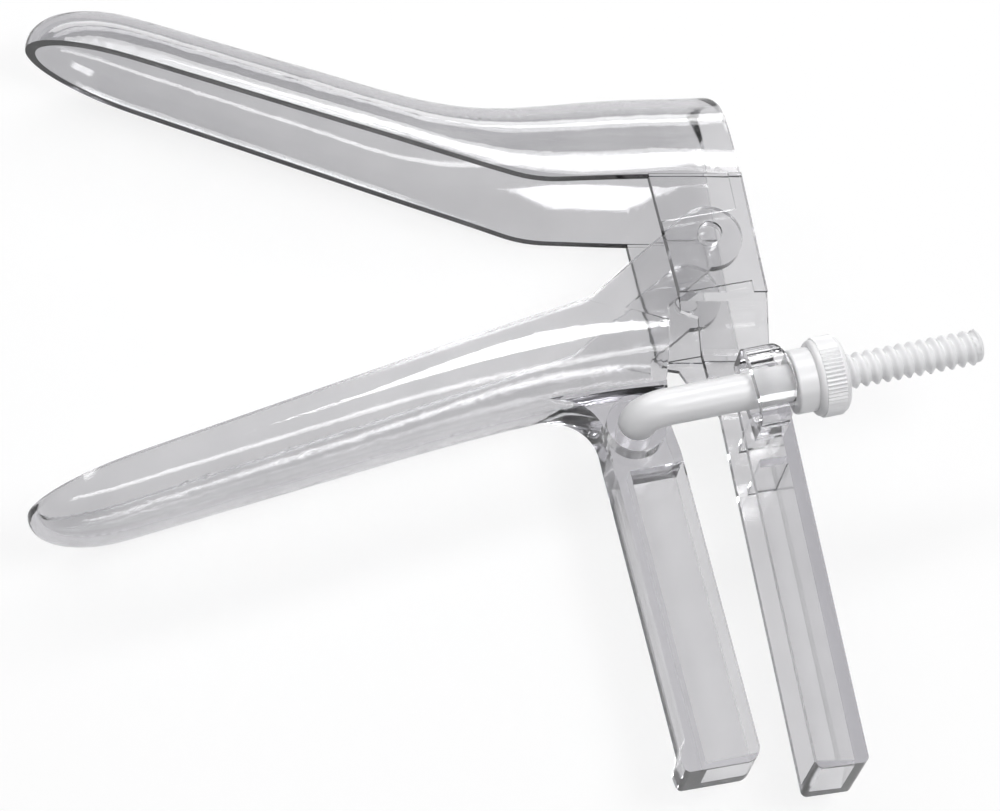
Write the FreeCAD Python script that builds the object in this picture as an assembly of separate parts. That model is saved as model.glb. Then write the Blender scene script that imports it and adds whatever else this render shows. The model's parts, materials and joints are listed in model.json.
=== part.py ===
import FreeCAD, Part
import math
import os

# A clear moulded bivalve speculum with a side screw, lying on its far cheek.
# Millimetres. X runs along the blades towards the handles, Y is the opening height,
# and Z is the width, up from the table. While the pieces are drawn, the hinge axis is
# the line X = Y = 0 and the plane of symmetry is Z = 0.

# Walls and clearances
wall = 2.0
side_gap = 0.3
pin_clearance = 0.05
screw_clearance = 0.3
rod_clearance = 0.05

# Upright band along each blade's rim, below the start of its arch
rim_band = 1.2

# Sections of a blade's rounded nose, as turns of a quarter ellipse in degrees
nose_turns = (88.0, 80.0, 68.0, 52.0, 34.0, 17.0)

# Upper blade, measured from the hinge axis towards the tip
upper_reach = 132.0
upper_slope = 19.75
upper_rim_lift = 1.2
upper_nose_length = 24.0
upper_nose_width = 12.4
upper_nose_rise = 13.6
upper_straight_start = 60.0
upper_straight_width = 14.1
upper_straight_rise = 14.9
upper_bend = 43.0
upper_bend_width = 14.5
upper_bend_rise = 17.9
upper_flare = 27.0
upper_flare_width = 15.5
upper_flare_crown = 35.4
upper_bend_radius = 26.0

# Collar of the upper blade, the arch that the user looks through
collar_half_width = 17.0
collar_front = 11.2
collar_spring = 13.0
collar_crown = 36.9
collar_back = 6.4
collar_corner_radius = 9.0
collar_step = 0.4
collar_front_drop = 0.4
collar_back_spread = 0.6
collar_back_rake = 2.2
collar_top_margin = 0.9

# Cheeks, shoulders and pads beside the hinge
cheek_front_low = 6.3
cheek_low = 15.2
cheek_back_low = 11.4
shoulder_top = 12.6
shoulder_low = 21.0
arm_front_high = 2.8
arm_front_low = 0.9
arm_low = 26.6
pad_height = 0.6
pad_top = 4.4
pad_tilt = 10.5
back_bead = 2.6

# Rear handle, a channel open towards the front handle
rear_lean = 7.45
rear_depth = 9.7
rear_half_width = 9.0
rear_web = 2.5
rear_front_offset = 0.3
rear_length = 79.2
rear_end_wall = 2.0
rear_corner_radius = 1.2
rear_rib_depths = (8.0, 17.0)
rear_rib_rise = 1.0
rear_rib_thickness = 1.6

# Lower blade
lower_reach = 131.0
lower_slope = 19.8
lower_rim_drop = 3.9
lower_nose_length = 22.0
lower_nose_width = 13.6
lower_nose_depth = 10.6
lower_straight_start = 60.0
lower_straight_width = 15.0
lower_straight_depth = 13.2
lower_root = 32.0
lower_root_width = 14.9
lower_root_depth = 15.9
lower_back = 8.6
lower_back_depth = 27.2
lower_back_lift = 0.4

# Hinge
pin_radius = 2.3
ear_radius = 6.6
ear_root = 24.0
ear_low = 14.0
ear_front = 4.95
ear_front_height = 4.4
ear_back_height = 1.0
ear_corner_radius = 3.3

# Front handle, a flat bar with a recessed panel on each side
front_lean = 10.4
front_depth = 13.0
front_half_width = 6.0
front_line_start = 20.4
front_line_height = 41.0
front_low = 105.2
front_border = 3.0
back_border = 2.6
end_border = 2.3
panel_top = 44.5
panel_web = 2.6
front_corner_radius = 3.0
neck_back = 8.5
neck_fillet = 9.0
neck_front = 32.0
lip_out = 2.3
lip_height = 6.4
lip_point_height = 2.9
lip_tip = 1.4
lip_hollow_radius = 3.8
lip_point_radius = 2.2
lip_tip_radius = 1.2
neck_root_sink = 1.4
neck_knee_rise = 10.0
neck_knee_out = 1.6
neck_knee_radius = 30.0
neck_back_radius = 12.0
neck_back_rise = 6.0
panel_radius = 1.5
panel_slant = 1.0

# Screw: a bent rod, its hub on the neck, and the eye on the rear handle
rod_radius = 3.6
rod_bend_radius = 5.0
rod_height = 15.4
rod_angle = 11.42
leg_x = -15.5
leg_y = -36.8
leg_depth = 13.8
hub_wall = 2.2
shank_length = 24.0
rod_length = 68.2
thread_radius = 3.5
rod_tip_chamfer = 0.8
eye_distance = 25.5
eye_length = 7.8
eye_back = 3.9
eye_half_height = 8.0
eye_slot_half_height = 6.5
eye_near_wall = 2.0
eye_corner_radius = 5.0
eye_back_radius = 16.0

# Knurled nut
nut_collar_radius = 6.25
nut_collar_length = 4.0
nut_head_radius = 7.8
nut_head_length = 6.2
nut_shoulder = 1.2
nut_ribs = 60
nut_rib_depth = 0.35
nut_collar_round = 0.5
nut_head_round = 1.1

# Length of the cutting tools beyond the pieces
beyond = 60.0

# Weight of the middle pole of a quarter circle or ellipse
quarter_weight = math.sqrt(0.5)


def vector(x, y, z=0.0):
    return FreeCAD.Vector(x, y, z)


def tan_degrees(angle):
    return math.tan(math.radians(angle))


def rounded_outline(corners):
    """Closed outline through anticlockwise corners (x, y, radius), each rounded by an arc."""
    count = len(corners)
    starts = []
    ends = []
    middles = []
    for index in range(count):
        x, y, radius = corners[index]
        corner = vector(x, y)
        before = vector(*corners[index - 1][:2]) - corner
        after = vector(*corners[(index + 1) % count][:2]) - corner
        before.normalize()
        after.normalize()
        half = math.acos(max(-1.0, min(1.0, before.dot(after)))) / 2.0
        if radius <= 0.0 or abs(half - math.pi / 2.0) < 1e-6:
            starts.append(corner)
            ends.append(corner)
            middles.append(None)
            continue
        reach = radius / math.tan(half)
        inward = before + after
        inward.normalize()
        starts.append(corner + before * reach)
        ends.append(corner + after * reach)
        middles.append(corner + inward * (radius / math.sin(half) - radius))
    edges = []
    for index in range(count):
        if middles[index] is not None:
            edges.append(Part.Arc(starts[index], middles[index], ends[index]).toShape())
        following = (index + 1) % count
        if (starts[following] - ends[index]).Length > 1e-6:
            edges.append(Part.LineSegment(ends[index], starts[following]).toShape())
    return Part.Wire(edges)


def prism(corners, low, high):
    """Solid with the outline of corners (x, y, radius), from Z = low to Z = high."""
    outline = rounded_outline(corners)
    outline.translate(vector(0, 0, low))
    return Part.Face(outline).extrude(vector(0, 0, high - low))


def fused(shapes):
    whole = shapes[0]
    for shape in shapes[1:]:
        whole = whole.fuse(shape)
    return whole.removeSplitter()


def mirrored(shape):
    return shape.mirror(vector(0, 0, 0), vector(0, 0, 1))


def quarter_arc(start, corner, end):
    """Quarter of an ellipse from start to end, tangent to the lines through corner."""
    curve = Part.BezierCurve()
    curve.setPoles([start, corner, end])
    curve.setWeight(2, quarter_weight)
    return curve.toShape()


def trough_section(x, half_width, spring, crown, edge):
    """Closed section of a trough: half an ellipse over two straight sides that end at edge."""
    side = math.copysign(half_width, crown - spring)
    first_edge = vector(x, edge, side)
    first_spring = vector(x, spring, side)
    first_corner = vector(x, crown, side)
    top = vector(x, crown, 0)
    last_corner = vector(x, crown, -side)
    last_spring = vector(x, spring, -side)
    last_edge = vector(x, edge, -side)
    return Part.Wire([
        Part.LineSegment(first_edge, first_spring).toShape(),
        quarter_arc(first_spring, first_corner, top),
        quarter_arc(top, last_corner, last_spring),
        Part.LineSegment(last_spring, last_edge).toShape(),
        Part.LineSegment(last_edge, first_edge).toShape(),
    ])


def nose_sections(reach, length, half_width, rise, rim_at, edge, inset):
    """Sections of a blade's rounded nose, from its start to near its tip."""
    sections = []
    for turn in nose_turns:
        share = math.radians(turn)
        x = -(reach - length) - (length - inset) * math.sin(share)
        width = (half_width - inset) * math.cos(share)
        spring = rim_at(x) + math.copysign(rim_band, rise) * math.cos(share)
        crown = rim_at(x) + math.copysign(abs(rise) - inset, rise) * math.cos(share)
        sections.append(trough_section(x, width, spring, crown, edge))
    return sections


def upper_rim(x):
    return upper_rim_lift - x * tan_degrees(upper_slope)


def lower_rim(x):
    return -lower_rim_drop + x * tan_degrees(lower_slope)


def between(first, last, share):
    return first + (last - first) * share


def straight_sections(first, last, rim_at, edge, inset):
    """Sections of a blade's straight part; first and last are (reach, half width, rise)."""
    sections = []
    for share in (0.0, 0.25, 0.5, 0.75, 1.0):
        reach, half_width, rise = [between(start, end, share) for start, end in zip(first, last)]
        spring = rim_at(-reach) + math.copysign(rim_band, rise)
        crown = rim_at(-reach) + math.copysign(abs(rise) - inset, rise)
        sections.append(trough_section(-reach, half_width - inset, spring, crown, edge))
    return sections


def upper_hull(inset):
    """Filled outer form of the upper blade and its collar, drawn in by inset."""
    edge = -beyond
    nose_start = upper_reach - upper_nose_length
    sections = nose_sections(upper_reach, upper_nose_length, upper_nose_width, upper_nose_rise,
                             upper_rim, edge, inset)
    sections += straight_sections((nose_start, upper_nose_width, upper_nose_rise),
                                  (upper_straight_start, upper_straight_width, upper_straight_rise),
                                  upper_rim, edge, inset)
    bend_rim = upper_rim(-upper_bend)
    back = collar_back + wall * 4
    spring = collar_spring + rim_band
    collar_width = collar_half_width - collar_step
    stations = [
        (-upper_bend, upper_bend_width, bend_rim + rim_band, bend_rim + upper_bend_rise),
        (-upper_flare, upper_flare_width, spring, upper_flare_crown),
        (-collar_front, collar_width, spring, collar_crown - collar_front_drop),
        (0.0, collar_width, spring, collar_crown),
        (back, collar_width, spring, collar_crown),
    ]
    for x, half_width, spring, crown in stations:
        sections.append(trough_section(x, half_width - inset, spring, crown - inset, edge))
    return Part.makeLoft(sections, True, False)


def lower_hull(inset):
    """Filled outer form of the lower blade, drawn in by inset."""
    edge = beyond
    nose_start = lower_reach - lower_nose_length
    sections = nose_sections(lower_reach, lower_nose_length, lower_nose_width, -lower_nose_depth,
                             lower_rim, edge, inset)
    sections += straight_sections((nose_start, lower_nose_width, -lower_nose_depth),
                                  (lower_straight_start, lower_straight_width, -lower_straight_depth),
                                  lower_rim, edge, inset)
    root_rim = lower_rim(-lower_root)
    back_half_width = collar_half_width - wall - side_gap
    stations = [
        (-lower_root, lower_root_width, root_rim - rim_band, root_rim - lower_root_depth),
        (-lower_back + wall, back_half_width, -ear_low, -lower_back_depth),
        (-lower_back + 4 * wall, back_half_width, -ear_low, -lower_back_depth),
    ]
    for x, half_width, spring, crown in stations:
        sections.append(trough_section(x, half_width - inset, spring, crown + inset, edge))
    return Part.makeLoft(sections, True, False)


def upper_blade():
    """Arched shell from the tip to the back of the collar, cut to its rim in side view."""
    shell = upper_hull(0.0).cut(upper_hull(wall))
    tip = -upper_reach - wall
    knee = -(collar_spring - upper_rim_lift) / tan_degrees(upper_slope)
    corners = [
        (tip, upper_rim(tip), 0),
        (knee, collar_spring, upper_bend_radius),
        (-collar_front, collar_spring, 0),
        (collar_back + collar_back_spread, collar_spring, 0),
        (collar_back - collar_back_rake, collar_crown + collar_top_margin, collar_corner_radius),
        (-upper_flare, collar_crown + collar_top_margin, 0),
        (tip, collar_crown + beyond, 0),
    ]
    return shell.common(prism(corners, -collar_half_width - wall, collar_half_width + wall))


def yoke_outline():
    """Side view of the cheeks, the arms and the rear handle as one outline."""
    lean = tan_degrees(rear_lean)
    front_top = rear_front_offset + arm_low * lean
    front_end = front_top + rear_length * lean
    end_height = -(arm_low + rear_length)
    back_end = front_end + rear_depth / math.cos(math.radians(rear_lean))
    back_top = back_end - rear_length * lean
    end_rise = rear_depth * math.sin(math.radians(rear_lean))
    return [
        (-collar_front, collar_spring, 0),
        (-cheek_front_low, -cheek_low, 0),
        (-arm_front_high, -cheek_low - wall / 2, 0),
        (-arm_front_low, -arm_low, 0),
        (front_top, -arm_low - wall / 4, rear_corner_radius),
        (front_end, end_height, rear_corner_radius),
        (back_end, end_height + end_rise, rear_corner_radius),
        (back_top, -arm_low, rear_corner_radius),
        (cheek_back_low, -shoulder_low, 0),
        (collar_back + collar_back_spread, collar_spring, 0),
    ]


def yoke():
    """Cheeks, sloped shoulders, arms and the three outer walls of the rear handle."""
    end = -(arm_low + rear_length)
    outer = [
        (collar_spring, collar_half_width),
        (-shoulder_top, collar_half_width),
        (-shoulder_low, rear_half_width),
        (end - wall, rear_half_width),
    ]
    slope_share = wall * 0.4
    inner = [
        (end + rear_end_wall, rear_half_width - wall),
        (-shoulder_low - slope_share, rear_half_width - wall),
        (-shoulder_top - slope_share, collar_half_width - wall),
        (collar_spring, collar_half_width - wall),
    ]
    near = [vector(-beyond, y, z) for y, z in outer]
    far = [vector(-beyond, y, -z) for y, z in reversed(outer)]
    far_inner = [vector(-beyond, y, -z) for y, z in reversed(inner)]
    near_inner = [vector(-beyond, y, z) for y, z in inner]
    walls = Part.Face(Part.makePolygon(near + far + far_inner + near_inner + near[:1]))
    walls = walls.extrude(vector(2 * beyond, 0, 0))
    side = prism(yoke_outline(), -collar_half_width - wall, collar_half_width + wall)
    return walls.common(side)


def rear_handle_web():
    """Back wall of the rear handle's channel, with two cross ribs near its top."""
    lean = tan_degrees(rear_lean)
    across = 1.0 / math.cos(math.radians(rear_lean))
    front_end = rear_front_offset + (arm_low + rear_length) * lean
    back_end = front_end + rear_depth * across
    top = -arm_low
    end = -(arm_low + rear_length) + rear_corner_radius
    back_top = back_end + (top - end) * -lean
    inner_half = rear_half_width - wall / 2
    web = prism([
        (back_top - rear_web * across, top, 0),
        (back_end - rear_web * across, end, 0),
        (back_end, end, 0),
        (back_top, top, 0),
    ], -inner_half, inner_half)
    ribs = []
    for depth in rear_rib_depths:
        y = top - depth
        x_front = rear_front_offset + (arm_low + depth) * lean + wall
        x_back = back_top + depth * lean - rear_web / 2
        ribs.append(prism([
            (x_front, y, 0),
            (x_front, y - rear_rib_thickness, 0),
            (x_back, y - rear_rib_thickness + rear_rib_rise, 0),
            (x_back, y + rear_rib_rise, 0),
        ], -inner_half, inner_half))
    whole = fused([web] + ribs)
    return whole.common(prism(yoke_outline(), -rear_half_width, rear_half_width))


def hinge_pads():
    """Raised band round the hinge on each cheek, with a bead up the back edge."""
    tilt = tan_degrees(pad_tilt)
    pad = [
        (-beyond, pad_top - (beyond + wall) * tilt, 0),
        (-beyond, -shoulder_top + wall / 2 - beyond * tilt, 0),
        (beyond, -shoulder_top + wall / 2 + beyond * tilt, 0),
        (beyond, pad_top + (beyond - wall) * tilt, 0),
    ]
    low = collar_half_width - wall / 2
    high = collar_half_width + pad_height
    band = prism(pad, low, high)
    bead = prism([
        (cheek_back_low - back_bead, -shoulder_low, 0),
        (cheek_back_low + wall, -shoulder_low, 0),
        (collar_back + collar_back_spread + wall, collar_spring, 0),
        (collar_back + collar_back_spread - back_bead, collar_spring, 0),
    ], low, high)
    above_shoulder = prism([
        (-beyond, -shoulder_top, 0), (beyond, -shoulder_top, 0),
        (beyond, collar_spring, 0), (-beyond, collar_spring, 0),
    ], low, high)
    raised = fused([band, bead]).common(above_shoulder)
    near = raised.common(prism(yoke_outline(), low, high))
    return near, mirrored(near)


def along_rod(shape):
    """Turn a shape drawn along +X from the leg's axis into the rod's place."""
    shape.rotate(vector(0, 0, 0), vector(0, 0, 1), rod_angle)
    shape.translate(vector(leg_x, leg_y, rod_height))
    return shape


def screw_eye():
    """Tall loop on the near side of the rear handle, drawn along the rod from the leg's axis."""
    low = rear_half_width - wall / 2 - rod_height
    high = rod_radius + screw_clearance + eye_near_wall
    front = eye_distance + eye_back - eye_length
    back = eye_distance + eye_back
    profile = rounded_outline([
        (-low, -eye_half_height, 0),
        (-low, eye_half_height, 0),
        (-high, eye_half_height, eye_corner_radius),
        (-high, -eye_half_height, eye_corner_radius),
    ])
    profile.rotate(vector(0, 0, 0), vector(0, 1, 0), 90)
    profile.translate(vector(front, 0, 0))
    block = Part.Face(profile).extrude(vector(eye_length, 0, 0))
    rounding = Part.makeCylinder(eye_back_radius, 2 * beyond, vector(back - eye_back_radius, 0, -beyond))
    block = block.common(rounding)
    slot_radius = rod_radius + screw_clearance
    slot_flat = eye_slot_half_height - slot_radius
    slot = Part.Wire([
        Part.LineSegment(vector(slot_radius, -slot_flat), vector(slot_radius, slot_flat)).toShape(),
        Part.Arc(vector(slot_radius, slot_flat), vector(0, eye_slot_half_height),
                 vector(-slot_radius, slot_flat)).toShape(),
        Part.LineSegment(vector(-slot_radius, slot_flat), vector(-slot_radius, -slot_flat)).toShape(),
        Part.Arc(vector(-slot_radius, -slot_flat), vector(0, -eye_slot_half_height),
                 vector(slot_radius, -slot_flat)).toShape(),
    ])
    slot.rotate(vector(0, 0, 0), vector(0, 1, 0), 90)
    slot.translate(vector(front - beyond, 0, 0))
    opening = Part.Face(slot).extrude(vector(2 * beyond, 0, 0))
    return along_rod(block), along_rod(opening)


def hinge_bores():
    return Part.makeCylinder(pin_radius + pin_clearance, 2 * beyond, vector(0, 0, -beyond))


def upper_moulding():
    near_pad, far_pad = hinge_pads()
    eye, slot = screw_eye()
    whole = fused([upper_blade(), yoke(), rear_handle_web(), near_pad, far_pad, eye])
    return whole.cut(slot).cut(hinge_bores())


def ears():
    """Round ears that carry the hinge studs, flat inside the cheeks."""
    outside = collar_half_width - wall - side_gap
    inside = outside - wall
    root = lower_rim(-ear_root)
    plate = prism([
        (-ear_root, root, 0),
        (-lower_back, root - ear_low / 3, 0),
        (-lower_back, -ear_low, 0),
        (ear_radius, -ear_back_height, ear_corner_radius),
        (-ear_front, ear_front_height, ear_corner_radius),
    ], inside, outside)
    lobe = Part.makeCylinder(ear_radius, wall, vector(0, 0, inside))
    stud_height = wall + side_gap
    stud = Part.makeCylinder(pin_radius, stud_height + wall / 2, vector(0, 0, outside - wall / 2))
    near = fused([plate, lobe, stud])
    return near, mirrored(near)


def lower_blade():
    """Trough from the tip to the open back, cut to its rim in side view."""
    shell = lower_hull(0.0).cut(lower_hull(wall))
    tip = -lower_reach - wall
    corners = [
        (tip, -2 * beyond, 0),
        (-lower_back, -beyond, 0),
        (-lower_back, lower_rim(-lower_back) + lower_back_lift, 0),
        (-ear_root, lower_rim(-ear_root), 0),
        (tip, lower_rim(tip), 0),
    ]
    return shell.common(prism(corners, -collar_half_width - wall, collar_half_width + wall))


def front_handle():
    """Neck under the trough and the front handle, with a recessed panel on each side."""
    lean = tan_degrees(front_lean)
    across = 1.0 / math.cos(math.radians(front_lean))
    drop = front_low - front_line_height
    left_end = -front_line_start + drop * lean
    right_end = left_end + front_depth * across
    end_rise = front_depth * math.sin(math.radians(front_lean))
    right_top = right_end - (drop - end_rise) * lean
    neck_root = lower_rim(-neck_front) - lower_root_depth + neck_root_sink
    lip_top_x = left_end - lip_height * lean
    corners = [
        (-neck_front, neck_root, 0),
        (-front_line_start - neck_knee_out, -front_line_height + neck_knee_rise, neck_fillet),
        (-front_line_start, -front_line_height, neck_knee_radius),
        (lip_top_x, -front_low + lip_height, lip_hollow_radius),
        (left_end - lip_out, -front_low + lip_point_height, lip_point_radius),
        (left_end - lip_tip, -front_low, lip_tip_radius),
        (right_end, -front_low + end_rise, front_corner_radius),
        (right_top, -front_line_height, neck_back_radius),
        (-neck_back, -front_line_height + neck_back_rise, neck_back_radius),
        (-neck_back, -lower_back_depth + neck_root_sink, 0),
    ]
    bar = prism(corners, -front_half_width, front_half_width)
    panel_low = -front_low + end_border + end_rise * 0.5

    def left_at(y):
        return -front_line_start + (-front_line_height - y) * lean + front_border * across

    def right_at(y):
        return left_at(y) + (front_depth - front_border - back_border) * across

    panel = [
        (left_at(-panel_top - panel_slant), -panel_top - panel_slant, panel_radius),
        (left_at(panel_low - panel_slant), panel_low - panel_slant, panel_radius),
        (right_at(panel_low + panel_slant), panel_low + panel_slant, panel_radius),
        (right_at(-panel_top + panel_slant), -panel_top + panel_slant, panel_radius),
    ]
    near = prism(panel, panel_web / 2, beyond)
    return bar.cut(near).cut(mirrored(near))


def screw_hub():
    """Round boss on the near side of the neck, and the blind bore for the rod's leg."""
    outer = rod_radius + rod_clearance + hub_wall
    top = rod_height - rod_bend_radius - screw_clearance
    hub = Part.makeCylinder(outer, top - front_half_width / 2, vector(leg_x, leg_y, front_half_width / 2))
    bottom = rod_height - leg_depth - screw_clearance
    bore = Part.makeCylinder(rod_radius + rod_clearance, beyond, vector(leg_x, leg_y, bottom))
    return hub, bore


def lower_moulding():
    near_ear, far_ear = ears()
    hub, bore = screw_hub()
    inside = lower_hull(wall)
    handle = front_handle().cut(inside)
    return fused([lower_blade(), near_ear, far_ear, handle, hub]).cut(bore)


def screw_rod():
    """White rod bent into its leg, drawn along +X and then turned into place."""
    bend_start = vector(0, 0, -rod_bend_radius)
    bend_end = vector(rod_bend_radius, 0, 0)
    middle = rod_bend_radius * (1.0 - quarter_weight)
    route = Part.Wire([
        Part.LineSegment(vector(0, 0, -leg_depth), bend_start).toShape(),
        Part.Arc(bend_start, vector(middle, 0, -middle), bend_end).toShape(),
        Part.LineSegment(bend_end, vector(shank_length, 0, 0)).toShape(),
    ])
    section = Part.Wire(Part.makeCircle(rod_radius, vector(0, 0, -leg_depth), vector(0, 0, 1)))
    bent = route.makePipeShell([section], True, False)
    thread = Part.makeCylinder(thread_radius, rod_length - shank_length + wall,
                               vector(shank_length - wall, 0, 0), vector(1, 0, 0))
    rim_edges = [edge for edge in thread.Edges if abs(edge.CenterOfMass.x - rod_length) < 0.01]
    thread = thread.makeChamfer(rod_tip_chamfer, rim_edges[:1])
    return along_rod(fused([bent, thread]))


def turned(outline):
    """Solid of revolution about the X axis of an anticlockwise outline above it."""
    return Part.Face(outline).revolve(vector(0, 0, 0), vector(1, 0, 0), 360)


def screw_nut():
    """Smooth collar and ribbed head with round shoulders, in one piece."""
    start = eye_distance + eye_back + screw_clearance
    head_start = start + nut_collar_length
    end = head_start + nut_head_length
    ribs_start = head_start + nut_shoulder
    ribs_end = end - nut_shoulder
    valley = nut_head_radius - nut_rib_depth
    front = rounded_outline([
        (start, 0, 0),
        (ribs_start, 0, 0),
        (ribs_start, valley, 0),
        (head_start, valley, nut_head_round),
        (head_start, nut_collar_radius, 0),
        (start, nut_collar_radius, nut_collar_round),
    ])
    back = rounded_outline([
        (ribs_end, 0, 0),
        (end, 0, 0),
        (end, valley, nut_head_round),
        (ribs_end, valley, 0),
    ])
    points = []
    for index in range(2 * nut_ribs + 1):
        turn = math.pi * index / nut_ribs
        radius = nut_head_radius - nut_rib_depth * (index % 2)
        points.append(vector(ribs_start, radius * math.cos(turn), radius * math.sin(turn)))
    ribbed = Part.Face(Part.makePolygon(points)).extrude(vector(ribs_end - ribs_start, 0, 0))
    bore_radius = thread_radius + rod_clearance
    bore = Part.makeCylinder(bore_radius, beyond, vector(start - wall, 0, 0), vector(1, 0, 0))
    return along_rod(fused([turned(front), ribbed, turned(back)]).cut(bore))


def all_pieces():
    """Every piece at rest, moved so that the origin is under the middle of the whole."""
    pieces = {
        "lower_blade": lower_moulding(),
        "upper_blade": upper_moulding(),
        "screw_rod": screw_rod(),
        "screw_nut": screw_nut(),
    }
    whole = Part.makeCompound(list(pieces.values()))
    box = whole.optimalBoundingBox(False)
    shift = vector(-box.Center.x, -box.Center.y, -box.ZMin)
    for shape in pieces.values():
        shape.translate(shift)
    return pieces, shift


pieces, shift = all_pieces()
os.makedirs("parts", exist_ok=True)
for name, shape in pieces.items():
    shape.exportStep("parts/" + name + ".step")
    print(name, "valid", shape.isValid(), "solids", len(shape.Solids), "volume", round(shape.Volume))
print("hinge axis at", round(shift.x, 3), round(shift.y, 3), round(shift.z, 3))
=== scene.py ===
# %% [markdown]
# A clear moulded speculum with a white screw lock lies on its side on a white table.
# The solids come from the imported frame. This script gives them their finishes, models
# the screw and the front handle in a finer form, and sets the light and the camera.

# %% Load the frame
import json
import math

import bmesh
import bpy
from mathutils import Matrix, Vector


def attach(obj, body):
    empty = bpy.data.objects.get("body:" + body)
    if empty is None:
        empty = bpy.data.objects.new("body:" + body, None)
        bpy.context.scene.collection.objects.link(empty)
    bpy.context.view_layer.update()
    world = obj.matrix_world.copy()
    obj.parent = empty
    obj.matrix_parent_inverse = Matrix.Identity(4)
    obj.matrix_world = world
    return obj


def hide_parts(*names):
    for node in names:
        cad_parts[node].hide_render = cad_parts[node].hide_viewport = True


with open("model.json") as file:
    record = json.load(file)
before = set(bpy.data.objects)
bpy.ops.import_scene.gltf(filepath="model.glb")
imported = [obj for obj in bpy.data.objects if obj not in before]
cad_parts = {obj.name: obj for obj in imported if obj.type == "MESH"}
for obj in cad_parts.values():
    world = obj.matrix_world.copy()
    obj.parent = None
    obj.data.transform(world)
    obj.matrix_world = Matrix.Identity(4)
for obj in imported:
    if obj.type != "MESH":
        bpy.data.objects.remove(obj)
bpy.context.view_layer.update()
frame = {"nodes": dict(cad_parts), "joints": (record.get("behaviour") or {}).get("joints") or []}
joints = {joint["name"]: joint for joint in frame["joints"]}
print("nodes", sorted(frame["nodes"]))

# %% [markdown]
# The photograph looks down on the part from about 66 degrees above the table, from
# beyond the ends of the handles, with a long lens. A near view would spread the handles
# more than the picture does. The camera is set first, so that every later step can be
# judged in the same view.

# %% Camera
CAMERA_LENS = 130.49
CAMERA_PLACE = (-0.07547, -0.27902, 0.65794)
CAMERA_TURN = (23.3857, -5.5537, -2.6442)

camera_data = bpy.data.cameras.new("camera")
camera_data.lens = CAMERA_LENS
camera_data.sensor_width = 36.0
camera_data.clip_end = 10.0
camera = bpy.data.objects.new("camera", camera_data)
camera.location = CAMERA_PLACE
camera.rotation_euler = [math.radians(angle) for angle in CAMERA_TURN]
bpy.context.scene.collection.objects.link(camera)
bpy.context.scene.camera = camera
bpy.context.scene.view_settings.view_transform = "Standard"
print("camera", round(camera.location.length, 3), "m from the middle of the part's foot")

# %% [markdown]
# Materials are node trees, and most of them need the same few nodes. A few small helpers
# keep the later cells short: one adds a node with its values, one makes a noise pattern
# on the object's own coordinates, one turns a pattern into a range of values, and one
# presses a pattern into the surface as a bump.


# %% Helpers for materials
def add_node(tree, kind, **values):
    node = tree.nodes.new(kind)
    for name, value in values.items():
        if name in node.inputs:
            node.inputs[name].default_value = value
        else:
            setattr(node, name, value)
    return node


def noise(tree, scale, detail, stretch=(1.0, 1.0, 1.0)):
    place = add_node(tree, "ShaderNodeTexCoord")
    mapping = add_node(tree, "ShaderNodeMapping")
    mapping.inputs["Scale"].default_value = stretch
    tree.links.new(place.outputs["Object"], mapping.inputs["Vector"])
    pattern = add_node(tree, "ShaderNodeTexNoise", Scale=scale, Detail=detail)
    tree.links.new(mapping.outputs["Vector"], pattern.inputs["Vector"])
    return pattern.outputs["Fac"]


def ranged(tree, value, low, high):
    span = add_node(tree, "ShaderNodeMapRange")
    span.inputs["To Min"].default_value = low
    span.inputs["To Max"].default_value = high
    tree.links.new(value, span.inputs["Value"])
    return span.outputs["Result"]


def press(tree, shader, height, strength, depth):
    bump = add_node(tree, "ShaderNodeBump", Strength=strength, Distance=depth)
    tree.links.new(height, bump.inputs["Height"])
    tree.links.new(bump.outputs["Normal"], shader.inputs["Normal"])


def new_material(name):
    material = bpy.data.materials.new(name)
    material.use_nodes = True
    tree = material.node_tree
    shader = tree.nodes["Principled BSDF"]
    return material, tree, shader


# %% [markdown]
# The blades are injection-moulded polystyrene: very clear and glossy, but not quite
# even. Painted shade darkens their colour at the handles' ends and fades towards the upper
# blade's tip. A single colour would look like new window glass, and a noise alone would
# look dirty. So the painted shade follows the diagonal of X and Y, and a soft noise breaks it up.

# %% Painted shade of the clear plastic
# Painted shade: the blades' colour is darker towards the handles' ends and lighter towards the upper
# blade's tip.
PAINTED_SHADE_DARK = (0.64, 0.64, 0.65, 1.0)
PAINTED_SHADE_LIGHT = (0.985, 0.985, 0.985, 1.0)
PAINTED_SHADE_DIAGONAL = (1.0, -1.0, 0.0)
PAINTED_SHADE_START = -0.13
PAINTED_SHADE_END = 0.06
LIGHT_SHARE_START = 0.25
LIGHT_SHARE_END = 1.0
CLOUD_SCALE = 70.0
CLOUD_SPREAD = 0.25


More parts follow.
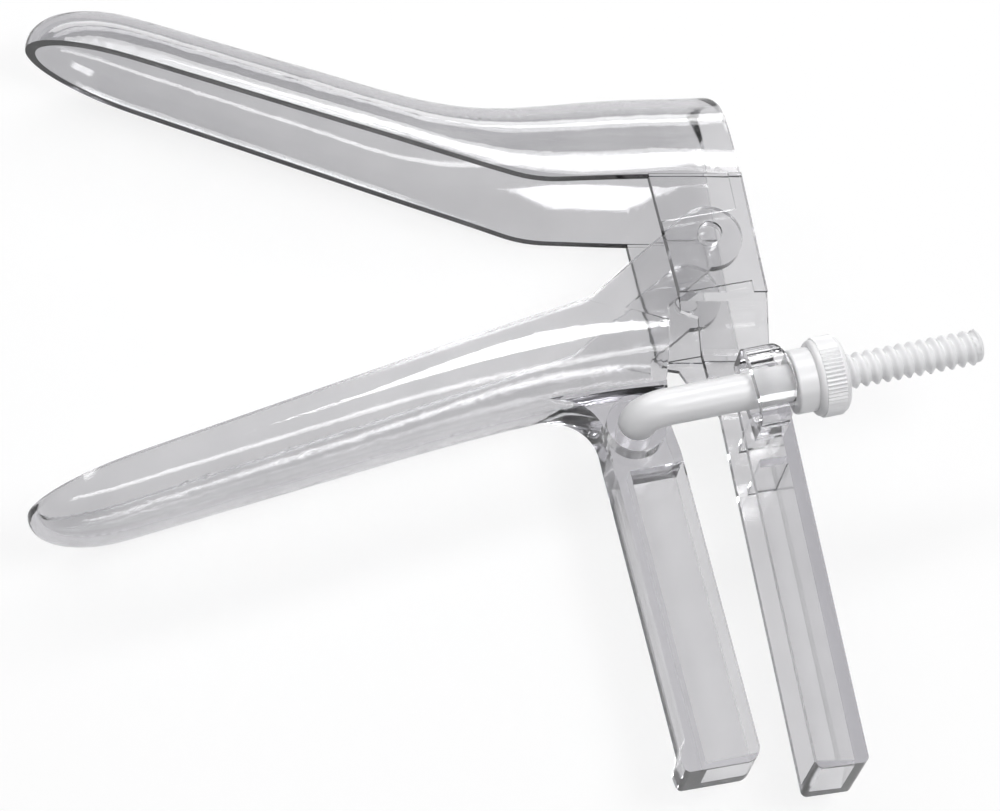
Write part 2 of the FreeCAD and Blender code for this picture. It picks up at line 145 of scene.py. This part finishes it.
def painted_shade_and_clouds(tree):
    """Colour of the plastic: painted shade that grows lighter along the diagonal from its start to its
    end, broken by random clouds.
    """
    place = add_node(tree, "ShaderNodeTexCoord")
    diagonal = add_node(tree, "ShaderNodeVectorMath", operation="DOT_PRODUCT")
    diagonal.inputs[1].default_value = PAINTED_SHADE_DIAGONAL
    tree.links.new(place.outputs["Object"], diagonal.inputs[0])
    along = add_node(tree, "ShaderNodeMapRange")
    along.inputs["From Min"].default_value = PAINTED_SHADE_START
    along.inputs["From Max"].default_value = PAINTED_SHADE_END
    along.inputs["To Min"].default_value = LIGHT_SHARE_START
    along.inputs["To Max"].default_value = LIGHT_SHARE_END
    tree.links.new(diagonal.outputs["Value"], along.inputs["Value"])
    clouds = ranged(tree, noise(tree, CLOUD_SCALE, detail=5.0), -CLOUD_SPREAD, CLOUD_SPREAD)
    cloudy = add_node(tree, "ShaderNodeMath", operation="ADD")
    tree.links.new(along.outputs["Result"], cloudy.inputs[0])
    tree.links.new(clouds, cloudy.inputs[1])
    tint = add_node(tree, "ShaderNodeMix", data_type="RGBA")
    tint.inputs["A"].default_value = PAINTED_SHADE_DARK
    tint.inputs["B"].default_value = PAINTED_SHADE_LIGHT
    tree.links.new(cloudy.outputs["Value"], tint.inputs["Factor"])
    return tint.outputs["Result"]


print("haze from", PAINTED_SHADE_START, "to", PAINTED_SHADE_END, "m along the diagonal")

# %% [markdown]
# A shader with full transmission gives the bends and highlights of glass. The faint
# smoky violet of the moulding deepens where a wall is seen edge on, so it isn't painted
# on the surface: absorption in the volume gives the darker edge lines, because light
# that runs along the wall passes through much more plastic. Slow waves in the bump are
# the flow marks that the melt leaves, and the roughness varies a little.

# %% Clear moulded plastic
CLEAR_IOR = 1.5
CLEAR_TINT = (0.78, 0.775, 0.80, 1.0)
CLEAR_DENSITY = 80.0
CLEAR_ROUGHNESS = (0.015, 0.09)
POLISH_SCALE = 90.0
FLOW_SCALE = 55.0
FLOW_STRETCH = (0.35, 1.0, 1.0)


def clear_plastic(name):
    material, tree, shader = new_material(name)
    # The base colour carries the painted shade along the diagonal, with random clouds.
    tree.links.new(painted_shade_and_clouds(tree), shader.inputs["Base Color"])
    shader.inputs["Transmission Weight"].default_value = 1.0
    shader.inputs["IOR"].default_value = CLEAR_IOR
    polish = noise(tree, POLISH_SCALE, detail=4.0)
    tree.links.new(ranged(tree, polish, *CLEAR_ROUGHNESS), shader.inputs["Roughness"])
    flow = noise(tree, FLOW_SCALE, detail=2.0, stretch=FLOW_STRETCH)
    press(tree, shader, flow, strength=0.05, depth=0.0006)
    volume = add_node(tree, "ShaderNodeVolumeAbsorption", Color=CLEAR_TINT, Density=CLEAR_DENSITY)
    tree.links.new(volume.outputs["Volume"], tree.nodes["Material Output"].inputs["Volume"])
    return material


clear_upper = clear_plastic("clear_plastic_upper")
clear_lower = clear_plastic("clear_plastic_lower")
for node_name, material in (("upper_blade", clear_upper), ("lower_blade", clear_lower)):
    for slot in frame["nodes"][node_name].material_slots:
        slot.material = material
print("clear plastic on both blades")

# %% [markdown]
# The rod and the nut are milky white plastic with a satin face. Plain white paint would
# look like chalk. Here a little light enters the plastic and scatters, so shadows in the
# grooves stay soft, and a fine grain from the mould breaks the highlight.

# %% White moulded plastic
ROD_TONE = 0.82
NUT_TONE = 0.81
WHITE_SHADE = (0.965, 0.965, 0.975)
WHITE_CLOUD_SCALE = 120.0
WHITE_ROUGHNESS = (0.28, 0.42)
SCATTER_RADIUS = 0.002
GRAIN_SCALE = 1500.0


def white_plastic(name, tone):
    material, tree, shader = new_material(name)
    cloud = noise(tree, WHITE_CLOUD_SCALE, detail=3.0)
    tint = add_node(tree, "ShaderNodeMix", data_type="RGBA")
    tint.inputs["A"].default_value = [tone * shade for shade in WHITE_SHADE] + [1.0]
    tint.inputs["B"].default_value = (tone, tone, tone, 1.0)
    tree.links.new(cloud, tint.inputs["Factor"])
    tree.links.new(tint.outputs["Result"], shader.inputs["Base Color"])
    tree.links.new(ranged(tree, cloud, *WHITE_ROUGHNESS), shader.inputs["Roughness"])
    shader.inputs["Subsurface Weight"].default_value = 0.25
    shader.inputs["Subsurface Radius"].default_value = (SCATTER_RADIUS,) * 3
    shader.inputs["Subsurface Scale"].default_value = 1.0
    press(tree, shader, noise(tree, GRAIN_SCALE, detail=2.0), strength=0.06, depth=0.0001)
    return material


white_rod = white_plastic("white_rod", ROD_TONE)
white_nut = white_plastic("white_nut", NUT_TONE)
for slot in frame["nodes"]["screw_nut"].material_slots:
    slot.material = white_nut
print("white plastic for the rod and on the nut")

# %% [markdown]
# The screw is one white rod: a leg that turns in the neck's hub, a round elbow, a plain
# shank through the eye and a coarse rounded thread. It is modelled along X from the
# elbow's corner, and moved to its place when it is whole. That place comes from the
# frame's joints: the leg stands on the axis of screw_swing, and the rod points the way
# that the nut travels.

# %% Where the screw sits
ROD_HEIGHT = 0.033

leg_axis = Vector(joints["screw_swing"]["pos_m"])
leg_axis.z = ROD_HEIGHT
travel = joints["nut_travel"]["axis"]
rod_angle = math.atan2(travel[1], travel[0])
rod_place = Matrix.Translation(leg_axis) @ Matrix.Rotation(rod_angle, 4, "Z")
print("leg axis", tuple(round(value, 4) for value in leg_axis), "angle", round(math.degrees(rod_angle), 2))

# %% [markdown]
# An operator acts on all that is selected, so each step first takes hold of one piece
# alone. A finished piece has its place in its mesh, with its object left at the origin,
# because a pattern on Object coordinates would slide otherwise.


# %% Helpers for pieces
def deselect():
    if bpy.context.mode != "OBJECT":
        bpy.ops.object.mode_set(mode="OBJECT")
    bpy.ops.object.select_all(action="DESELECT")


def take(piece):
    deselect()
    piece.select_set(True)
    bpy.context.view_layer.objects.active = piece


def settle(piece, place, material):
    """Move the piece's shape to its place, with the object left at the origin."""
    take(piece)
    piece.data.transform(place @ piece.matrix_world)
    piece.matrix_world = Matrix.Identity(4)
    piece.data.materials.clear()
    piece.data.materials.append(material)


# %% [markdown]
# The leg, the elbow and the shank are one bent bar. Two cylinders and a quarter of a
# ring would leave seams, so it is a curve with a round section. It has a point at each
# end of the leg and of the shank, and handles that draw the quarter circle between.

# %% Plain shank with its elbow
ROD_RADIUS = 0.0036
LEG_DEPTH = 0.0138
BEND_RADIUS = 0.005
SHANK_LENGTH = 0.024
QUARTER_CIRCLE_HANDLE = 0.5523

deselect()
bpy.ops.curve.primitive_bezier_curve_add()
shank = bpy.context.active_object
shank.name = "screw_shank"
spline = shank.data.splines[0]
spline.bezier_points.add(2)
stops = [
    (Vector((0, 0, -LEG_DEPTH)), Vector((0, 0, 1))),
    (Vector((0, 0, -BEND_RADIUS)), Vector((0, 0, 1))),
    (Vector((BEND_RADIUS, 0, 0)), Vector((1, 0, 0))),
    (Vector((SHANK_LENGTH, 0, 0)), Vector((1, 0, 0))),
]
handle = BEND_RADIUS * QUARTER_CIRCLE_HANDLE
for point, (place, direction) in zip(spline.bezier_points, stops):
    point.handle_left_type = "FREE"
    point.handle_right_type = "FREE"
    point.co = place
    point.handle_left = place - direction * handle
    point.handle_right = place + direction * handle
spline.resolution_u = 16
shank.data.bevel_depth = ROD_RADIUS
shank.data.bevel_resolution = 10
shank.data.use_fill_caps = True
take(shank)
bpy.ops.object.convert(target="MESH")
shank = bpy.context.active_object
print("shank", len(shank.data.polygons), "faces")

# %% [markdown]
# The thread could be one lathe shape, but a thread climbs as it turns, so its crests
# would be wrong from the side. Here one pitch of its profile, a line with a rounded
# crest, is carried round the axis by a Screw modifier. It makes a turn or two more than
# the rod holds, and the next step cuts the spare ends off.

# %% Thread
ROD_LENGTH = 0.0682
THREAD_START = 0.0292
THREAD_CREST = 0.0035
THREAD_ROOT = 0.00255
THREAD_PITCH = 0.00217
THREAD_STEPS = 40
CREST_POWER = 0.8

turns = int((ROD_LENGTH - THREAD_START) / THREAD_PITCH) + 2
deselect()
bpy.ops.mesh.primitive_grid_add(x_subdivisions=12, y_subdivisions=1, size=THREAD_PITCH)
thread = bpy.context.active_object
thread.name = "screw_thread"
bpy.ops.object.mode_set(mode="EDIT")
profile = bmesh.from_edit_mesh(thread.data)
lower_edge = [vertex for vertex in profile.verts if vertex.co.y < 0]
bmesh.ops.delete(profile, geom=lower_edge, context="VERTS")
for vertex in profile.verts:
    wave = 0.5 + 0.5 * math.cos(2 * math.pi * vertex.co.x / THREAD_PITCH)
    rounded = wave ** CREST_POWER
    vertex.co.y = THREAD_ROOT + (THREAD_CREST - THREAD_ROOT) * rounded
    vertex.co.z = 0.0
bmesh.update_edit_mesh(thread.data)
bpy.ops.object.mode_set(mode="OBJECT")
screw = thread.modifiers.new("screw", "SCREW")
screw.axis = "X"
screw.angle = 2 * math.pi
screw.screw_offset = THREAD_PITCH
screw.iterations = turns
screw.steps = THREAD_STEPS
screw.render_steps = THREAD_STEPS
screw.use_merge_vertices = True
screw.merge_threshold = 0.00001
take(thread)
bpy.ops.object.modifier_apply(modifier="screw")
print("thread", turns, "turns,", len(thread.data.polygons), "faces")

# %% [markdown]
# The thread starts inside the nut and stops just short of a blunt tip. Two cuts across
# the rod give it those ends. The far cut is closed with a face, and the near one lies
# inside the end of the step that the next cell makes.

# %% Trim the thread
TIP_ROUND = 0.0009

thread.data.transform(Matrix.Translation((THREAD_START - THREAD_PITCH * 0.5, 0, 0)))
take(thread)
bpy.ops.object.mode_set(mode="EDIT")
bpy.ops.mesh.select_all(action="SELECT")
bpy.ops.mesh.bisect(plane_co=(ROD_LENGTH - TIP_ROUND, 0, 0), plane_no=(1, 0, 0),
                    clear_outer=True, use_fill=True)
bpy.ops.mesh.select_all(action="SELECT")
bpy.ops.mesh.bisect(plane_co=(THREAD_START, 0, 0), plane_no=(1, 0, 0),
                    clear_inner=True, use_fill=False)
bpy.ops.mesh.select_all(action="SELECT")
bpy.ops.mesh.normals_make_consistent(inside=False)
bpy.ops.object.mode_set(mode="OBJECT")
print("trimmed thread", len(thread.data.polygons), "faces")

# %% [markdown]
# Two short round bars finish the rod. The tip closes the thread's far end. The step is a
# little thinner than the shank and carries the rod from the eye to the thread's start.
# Both run into their neighbours, so that no gap shows between them.

# %% Tip and step
TIP_RADIUS = 0.003
TIP_LENGTH = 0.0022
STEP_RADIUS = 0.00348
STEP_ROUND = 0.0001
SHANK_LAP = 0.001
THREAD_LAP = 0.0003


def round_bar(name, radius, start, end, rounding):
    """Round bar along X from start to end, with both its rims rounded."""
    deselect()
    bpy.ops.mesh.primitive_cylinder_add(vertices=64, radius=radius, depth=end - start,
                                        location=((start + end) / 2, 0, 0),
                                        rotation=(0, math.pi / 2, 0))
    bar = bpy.context.active_object
    bar.name = name
    bevel = bar.modifiers.new("bevel", "BEVEL")
    bevel.width = rounding
    bevel.segments = 5
    bpy.ops.object.modifier_apply(modifier="bevel")
    return bar


tip = round_bar("screw_tip", TIP_RADIUS, ROD_LENGTH - TIP_LENGTH, ROD_LENGTH, TIP_ROUND)
step = round_bar("screw_step", STEP_RADIUS, SHANK_LENGTH - SHANK_LAP, THREAD_START + THREAD_LAP,
                 STEP_ROUND)
print("tip", len(tip.data.polygons), "faces, step", len(step.data.polygons), "faces")

# %% [markdown]
# The four bars are one moulding on the real screw, so they are joined, and the whole
# moves to its place. It stands for the plain rod of the solids and rides on its body.

# %% Join the screw
SCREW_SMOOTH_ANGLE = math.radians(40)

for piece in (shank, thread, tip, step):
    settle(piece, Matrix.Identity(4), white_rod)
take(shank)
for piece in (thread, tip, step):
    piece.select_set(True)
bpy.ops.object.join()
shank.name = "white_screw"
settle(shank, rod_place, white_rod)
bpy.ops.object.shade_smooth_by_angle(angle=SCREW_SMOOTH_ANGLE)
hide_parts("screw_rod")
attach(shank, "rod")
print("white screw", len(shank.data.polygons), "faces")

# %% [markdown]
# The front handle is a channel: a front wall and an end wall carry two thin plates, and
# the side towards the rear handle is open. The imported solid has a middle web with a
# recess on each side there. A copy of the lower moulding is closed with a plate over each
# recess, and the channel is then cut out between them. A Boolean modifier does both,
# because it keeps every other face of the moulding as it is. The blocks are set in the
# handle's own directions, so its lean is one turn about the handle's upper corner.

# %% Place of the front handle
HANDLE_LEAN = math.radians(10.4)
HANDLE_CORNER = Vector((-0.0204, -0.041, 0.0))

hinge = Vector(joints["blade_hinge"]["pos_m"])
handle_place = Matrix.Translation(hinge + HANDLE_CORNER) @ Matrix.Rotation(HANDLE_LEAN, 4, "Z")
print("front handle leans", round(math.degrees(HANDLE_LEAN), 1), "degrees")


# %% Helpers for the channel
def handle_block(name, low, high):
    """Block in the handle's own directions: X from front to back, Y up along the handle."""
    deselect()
    size = [end - start for start, end in zip(low, high)]
    middle = [(start + end) / 2 for start, end in zip(low, high)]
    bpy.ops.mesh.primitive_cube_add(size=1.0, location=middle, scale=size)
    block = bpy.context.active_object
    block.name = name
    settle(block, handle_place, clear_lower)
    return block


def combine(piece, tool, operation):
    take(piece)
    change = piece.modifiers.new("combine", "BOOLEAN")
    change.operation = operation
    change.solver = "EXACT"
    change.object = tool
    bpy.ops.object.modifier_apply(modifier="combine")
    bpy.data.objects.remove(tool)


# %% [markdown]
# A CAD node's mesh is loose triangles, and the Boolean needs a closed shape. So the copy
# is merged first. It also drops the stored normals, which would shade the new faces
# wrongly.

# %% Copy of the lower moulding
MERGE_DISTANCE = 0.000001

lower = bpy.data.objects.new("clear_lower_half", frame["nodes"]["lower_blade"].data.copy())
bpy.context.scene.collection.objects.link(lower)
take(lower)
bpy.ops.object.mode_set(mode="EDIT")
bpy.ops.mesh.select_all(action="SELECT")
bpy.ops.mesh.remove_doubles(threshold=MERGE_DISTANCE)
bpy.ops.object.mode_set(mode="OBJECT")
bpy.ops.mesh.customdata_custom_splitnormals_clear()
print("lower moulding", len(lower.data.vertices), "vertices after merging")

# %% [markdown]
# Each plate is a margin too large, so that it grows into the walls round its recess and
# the cut trims its inner face. The hollow is cut through the web once both plates are
# on, and its two front corners are rounded, as they are in a moulding.

# %% Plates and hollow of the channel
PLATE_OUTSIDE = 0.00598
PLATE_INSIDE = 0.004
PLATE_FRONT = 0.0027
PLATE_BACK = 0.0107
CHANNEL_FRONT = 0.003
CHANNEL_BACK = 0.016
CHANNEL_TOP = 0.0041
CHANNEL_END = 0.0635
CHANNEL_ROUND = 0.0015
MARGIN = 0.0003

for side in (1, -1):
    heights = sorted((side * (PLATE_INSIDE - MARGIN), side * PLATE_OUTSIDE))
    plate = handle_block("handle_plate", (PLATE_FRONT, -CHANNEL_END - MARGIN, heights[0]),
                         (PLATE_BACK, -CHANNEL_TOP + MARGIN, heights[1]))
    combine(lower, plate, "UNION")
hollow = handle_block("handle_hollow", (CHANNEL_FRONT, -CHANNEL_END, -PLATE_INSIDE),
                      (CHANNEL_BACK, -CHANNEL_TOP, PLATE_INSIDE))
take(hollow)
bpy.ops.object.mode_set(mode="EDIT")
corners = bmesh.from_edit_mesh(hollow.data)
bpy.ops.mesh.select_all(action="DESELECT")
to_handle = handle_place.inverted()
for edge in corners.edges:
    ends = [to_handle @ vertex.co for vertex in edge.verts]
    upright = abs(ends[0].z - ends[1].z) > PLATE_INSIDE
    edge.select = upright and ends[0].x < CHANNEL_FRONT + MARGIN
bmesh.update_edit_mesh(hollow.data)
bpy.ops.mesh.bevel(offset=CHANNEL_ROUND, segments=8)
bpy.ops.object.mode_set(mode="OBJECT")
combine(lower, hollow, "DIFFERENCE")
print("channel", round(CHANNEL_END - CHANNEL_TOP, 4), "m long,", PLATE_INSIDE * 2, "m wide")

# %% [markdown]
# The finished copy stands for the lower moulding of the solids. Its curved walls are
# shaded smooth and its folds stay sharp.

# %% Finish the lower half
LOWER_SMOOTH_ANGLE = math.radians(32)

take(lower)
bpy.ops.object.shade_smooth_by_angle(angle=LOWER_SMOOTH_ANGLE)
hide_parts("lower_blade")
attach(lower, "lower_half")
print("lower half", len(lower.data.polygons), "faces")

# %% [markdown]
# The floor and the room both look white to the camera, but other rays have to find
# something else there: a bright white all round would wash the part out. One helper
# mixes two shaders by the kind of ray.


# %% Helper for rays from the camera
def by_camera_ray(tree, others, direct):
    """Shader that the camera sees as direct, and that every other ray sees as others."""
    path = add_node(tree, "ShaderNodeLightPath")
    mix = add_node(tree, "ShaderNodeMixShader")
    tree.links.new(path.outputs["Is Camera Ray"], mix.inputs["Fac"])
    tree.links.new(others, mix.inputs[1])
    tree.links.new(direct, mix.inputs[2])
    return mix.outputs["Shader"]


# %% [markdown]
# The table is plain white. In the photograph the background round the part is cut out to
# pure white, but through the plastic the real table still shows as a light lilac grey.
# So most of the floor's colour is its own, white when seen directly and grey behind the
# plastic, and a part of it answers to the lamps and keeps the soft shadow.

# %% Floor
FLOOR_SIZE = 6.0
FLOOR_HEIGHT = -0.0002
FLOOR_WHITE = (0.93, 0.93, 0.93, 1.0)
BEHIND_PLASTIC = (0.69, 0.685, 0.70, 1.0)
PURE_WHITE = (1.0, 1.0, 1.0, 1.0)
GLOW_SHARE = 0.8

deselect()
bpy.ops.mesh.primitive_plane_add(size=FLOOR_SIZE, location=(0, 0, FLOOR_HEIGHT))
floor = bpy.context.active_object
floor.name = "floor"
floor_material, floor_tree, floor_shader = new_material("white_floor")
floor_shader.inputs["Base Color"].default_value = FLOOR_WHITE
floor_shader.inputs["Roughness"].default_value = 0.9
floor_shader.inputs["Specular IOR Level"].default_value = 0.0
bare = add_node(floor_tree, "ShaderNodeEmission", Color=PURE_WHITE, Strength=1.0)
behind = add_node(floor_tree, "ShaderNodeEmission", Color=BEHIND_PLASTIC, Strength=1.0)
glow = by_camera_ray(floor_tree, behind.outputs["Emission"], bare.outputs["Emission"])
floor.data.materials.append(floor_material)
print("floor at", FLOOR_HEIGHT, "m")

# %% How much of the floor glows
path = add_node(floor_tree, "ShaderNodeLightPath")
seen = add_node(floor_tree, "ShaderNodeMath", operation="MAXIMUM")
floor_tree.links.new(path.outputs["Is Camera Ray"], seen.inputs[0])
floor_tree.links.new(path.outputs["Is Transmission Ray"], seen.inputs[1])
glow_share = add_node(floor_tree, "ShaderNodeMath", operation="MULTIPLY")
glow_share.inputs[1].default_value = GLOW_SHARE
floor_tree.links.new(seen.outputs["Value"], glow_share.inputs[0])
blend = add_node(floor_tree, "ShaderNodeMixShader")
floor_tree.links.new(glow_share.outputs["Value"], blend.inputs["Fac"])
floor_tree.links.new(floor_shader.outputs["BSDF"], blend.inputs[1])
floor_tree.links.new(glow, blend.inputs[2])
floor_tree.links.new(blend.outputs["Shader"], floor_tree.nodes["Material Output"].inputs["Surface"])
print("floor glows", GLOW_SHARE, "of its colour to the camera and through the plastic")

# %% [markdown]
# Clear plastic shows mostly what is around it. An even room would leave the blades flat,
# so this one is light above and darker at the sides, which draws the grey bands along
# the blades.

# %% Room
ROOM_DARK = (0.24, 0.24, 0.25, 1.0)
ROOM_LIGHT = (0.75, 0.75, 0.77, 1.0)
ROOM_LIGHT_FROM = 0.9
ROOM_STRENGTH = 0.6

world = bpy.data.worlds.new("room")
bpy.context.scene.world = world
world.use_nodes = True
room = world.node_tree
background = room.nodes["Background"]
position = add_node(room, "ShaderNodeTexCoord")
split = add_node(room, "ShaderNodeSeparateXYZ")
room.links.new(position.outputs["Generated"], split.inputs["Vector"])
shades = add_node(room, "ShaderNodeValToRGB")
dark_end, light_end = shades.color_ramp.elements
dark_end.position = 0.0
dark_end.color = ROOM_DARK
light_end.position = ROOM_LIGHT_FROM
light_end.color = ROOM_LIGHT
room.links.new(split.outputs["Z"], shades.inputs["Fac"])
room.links.new(shades.outputs["Color"], background.inputs["Color"])
background.inputs["Strength"].default_value = ROOM_STRENGTH
white = add_node(room, "ShaderNodeBackground", Color=PURE_WHITE, Strength=1.0)
shown = by_camera_ray(room, background.outputs["Background"], white.outputs["Background"])
room.links.new(shown, room.nodes["World Output"].inputs["Surface"])
print("room strength", ROOM_STRENGTH)

# %% [markdown]
# Two soft lamps light the scene. Three bright cards, which light no matt surface, give
# the long white streaks along the rim, the crown and the trough. Larger lamps would
# give the same streaks, but would also burn out the white screw. Every lamp faces the
# part, and a turn about its own axis slants its streak.

# %% Lamps
LAMP_TARGET = Vector((0.0, 0.0, 0.0))


def soft_lamp(name, place, width, height, power, turn=0.0):
    lamp_data = bpy.data.lights.new(name, "AREA")
    lamp_data.shape = "RECTANGLE"
    lamp_data.size = width
    lamp_data.size_y = height
    lamp_data.energy = power
    lamp = bpy.data.objects.new(name, lamp_data)
    lamp.location = place
    direction = LAMP_TARGET - Vector(place)
    facing = direction.to_track_quat("-Z", "Y").to_matrix()
    lamp.rotation_euler = (facing @ Matrix.Rotation(math.radians(turn), 3, "Z")).to_euler()
    bpy.context.scene.collection.objects.link(lamp)
    return lamp


soft_lamp("long_lamp", (-0.1, 0.35, 0.55), width=0.9, height=0.11, power=2.3)
soft_lamp("window_lamp", (0.25, -0.1, 0.7), width=0.26, height=0.22, power=2.0)
cards = [
    soft_lamp("rim_card", (-0.1, 0.45, 0.54), width=1.1, height=0.13, power=2.7, turn=-8.0),
    soft_lamp("crown_card", (-0.1, 0.62, 0.16), width=1.0, height=0.12, power=2.2, turn=8.0),
    soft_lamp("trough_card", (0.0, -0.46, 0.42), width=1.0, height=0.09, power=1.5, turn=-12.0),
]
for card in cards:
    card.visible_diffuse = False
print("two lamps and", len(cards), "cards")
